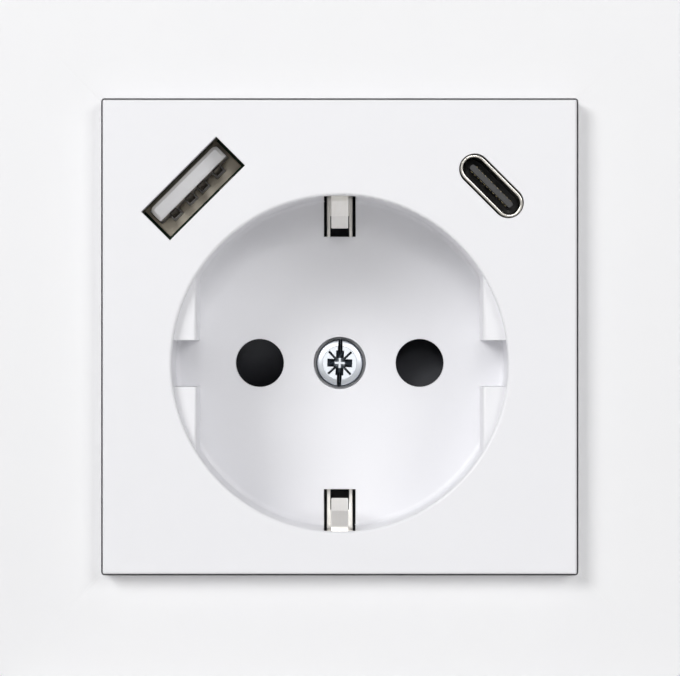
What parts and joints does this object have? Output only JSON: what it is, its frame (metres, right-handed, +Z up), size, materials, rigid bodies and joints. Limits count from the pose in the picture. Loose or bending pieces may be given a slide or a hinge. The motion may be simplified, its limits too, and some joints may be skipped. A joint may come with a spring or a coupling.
{
  "type": "usb wall socket",
  "caption": "Square white flush wall socket with a round plug recess, side earth clips, shuttered pin holes and slanted USB-A and USB-C charging ports above it.",
  "frame": {"origin": "middle of the wall plane, between the wall-box screws", "axes": "+X to the right as seen from the room, +Y into the wall, +Z up"},
  "size_m": [0.08, 0.0444, 0.08],
  "materials": {
    "white_cover": "injection moulded, half gloss, cool white",
    "zinc_plated_steel": "bright zinc plating",
    "spring_steel": "drawn or rolled, plain",
    "black_shutter": "injection moulded, satin black",
    "nickel_plated_bronze": "bright nickel plating over bronze sheet",
    "contact_brass": "stamped brass sheet, plain",
    "dark_housing": "injection moulded, fine spark texture",
    "orange_button": "injection moulded, satin orange",
    "nickel_plated_steel": "folded sheet, nickel plating",
    "dark_nickel_plated_steel": "folded sheet, dark nickel plating",
    "white_insulator": "injection moulded, plain white",
    "black_insulator": "injection moulded, plain black",
    "gold_plated_contact": "thin gold plating",
    "dark_plated_contact": "bronze strip, dark nickel plating",
    "circuit_board": "glass fibre laminate under green solder mask",
    "ferrite": "sintered, ground dark grey",
    "copper_winding": "enamelled copper wire",
    "component_sleeve": "shrunk plastic sleeve",
    "choke_coating": "shrunk black tube",
    "fuse_coating": "dipped red-brown lacquer",
    "chip_package": "moulded black resin"
  },
  "bodies": {
    "socket": {"cover_frame": "white_cover", "center_plate": "white_cover", "center_screw": "zinc_plated_steel", "support_ring": "zinc_plated_steel", "ring_rivets": "zinc_plated_steel", "housing_screws": "zinc_plated_steel", "shutter_spring": "spring_steel", "line_clamp_spring": "spring_steel", "earth_clamp_spring": "spring_steel", "neutral_clamp_spring": "spring_steel", "earth_bracket": "nickel_plated_bronze", "earth_busbar": "contact_brass", "line_contact": "contact_brass", "neutral_contact": "contact_brass", "socket_base": "dark_housing", "rear_cover": "dark_housing", "usb_c_shell": "nickel_plated_steel", "usb_a_shell": "dark_nickel_plated_steel", "usb_a_tongue": "white_insulator", "usb_c_tongue": "black_insulator", "usb_c_contacts": "gold_plated_contact", "board_pins": "gold_plated_contact", "usb_a_contacts": "dark_plated_contact", "usb_board": "circuit_board", "power_board": "circuit_board", "transformer_core": "ferrite", "transformer_winding": "copper_winding", "input_capacitor": "component_sleeve", "output_capacitor": "component_sleeve", "supply_choke": "choke_coating", "supply_fuse": "fuse_coating", "supply_chips": "chip_package", "port_chip": "chip_package"},
    "shutter": {"shutter": "black_shutter"},
    "line_release": {"line_release_button": "orange_button"},
    "earth_release": {"earth_release_button": "orange_button"},
    "neutral_release": {"neutral_release_button": "orange_button"}
  },
  "joints": [
    {"name": "shutter_turn", "type": "hinge", "parent": "socket", "child": "shutter", "pos_m": [0, 0.0104, -0.0031], "axis": [0, 1, 0], "range_deg": [0, 42], "stiffness_Nm_per_rad": 0.01, "springref_deg": -28.65, "deforming": ["shutter_spring"]},
    {"name": "line_release_press", "type": "slide", "parent": "socket", "child": "line_release", "axis": [0, -1, 0], "range_m": [0, 0.0015], "stiffness_N_per_m": 2000, "springref_m": -0.0005, "deforming": ["line_clamp_spring"]},
    {"name": "earth_release_press", "type": "slide", "parent": "socket", "child": "earth_release", "axis": [0, -1, 0], "range_m": [0, 0.0015], "stiffness_N_per_m": 2000, "springref_m": -0.0005, "deforming": ["earth_clamp_spring"]},
    {"name": "neutral_release_press", "type": "slide", "parent": "socket", "child": "neutral_release", "axis": [0, -1, 0], "range_m": [0, 0.0015], "stiffness_N_per_m": 2000, "springref_m": -0.0005, "deforming": ["neutral_clamp_spring"]}
  ]
}
